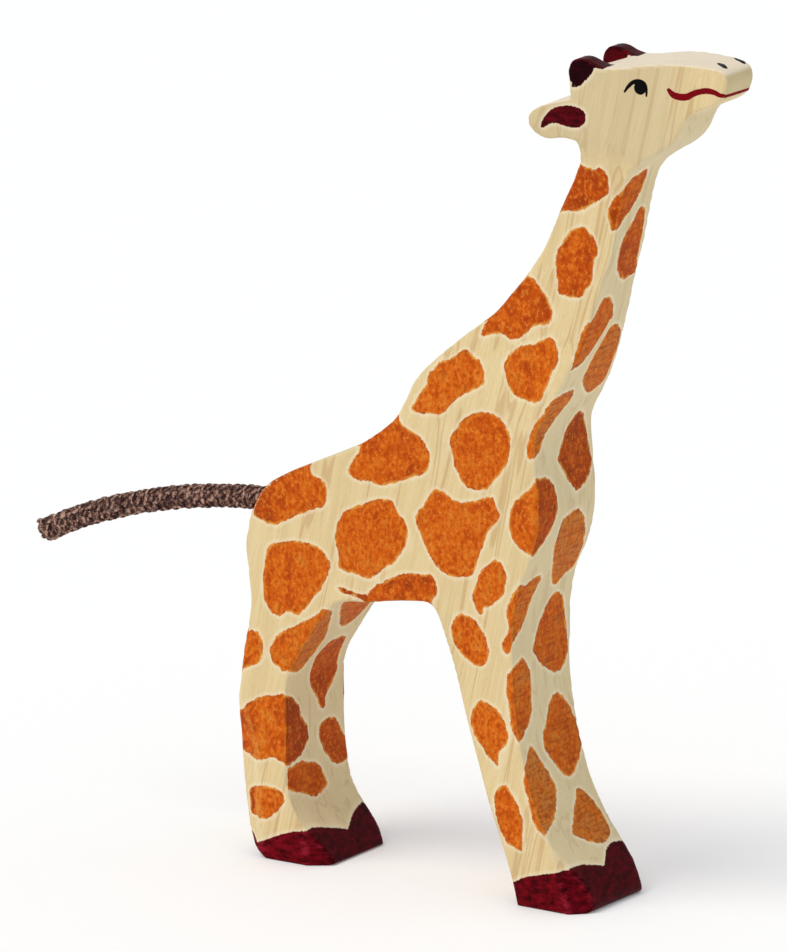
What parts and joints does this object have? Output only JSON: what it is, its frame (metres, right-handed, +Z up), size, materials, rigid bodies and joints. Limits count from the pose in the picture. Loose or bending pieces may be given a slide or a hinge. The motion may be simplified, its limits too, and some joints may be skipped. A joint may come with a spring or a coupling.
{
  "type": "carved wooden giraffe figure",
  "caption": "Painted wooden giraffe figure carved from a flat board, standing on broad feet with its head raised, with a braided cord tail set in the rump.",
  "frame": {"origin": "on the ground under the middle of the board's outline, half way through its thickness", "axes": "+X towards the head, +Y towards the giraffe's left side, +Z up"},
  "size_m": [0.1534, 0.0206, 0.1611],
  "materials": {
    "painted_maple": "sanded and oiled pale maple with stained spots, hooves and horns",
    "glue": "dried wood glue",
    "cord": "braided mauve-brown cotton cord",
    "cord_core": "straight pale cotton yarn"
  },
  "bodies": {
    "figure": {"carved_body": "painted_maple", "tail_glue": "glue", "tail_seated_end": "cord"},
    "tail": {"tail_braid": "cord", "tail_core": "cord_core"}
  },
  "joints": [
    {"name": "tail_flex", "type": "hinge", "parent": "figure", "child": "tail", "pos_m": [-0.0495, 0, 0.0653], "axis": [0, 1, 0], "range_deg": [-35, 30], "stiffness_Nm_per_rad": 0.02}
  ]
}
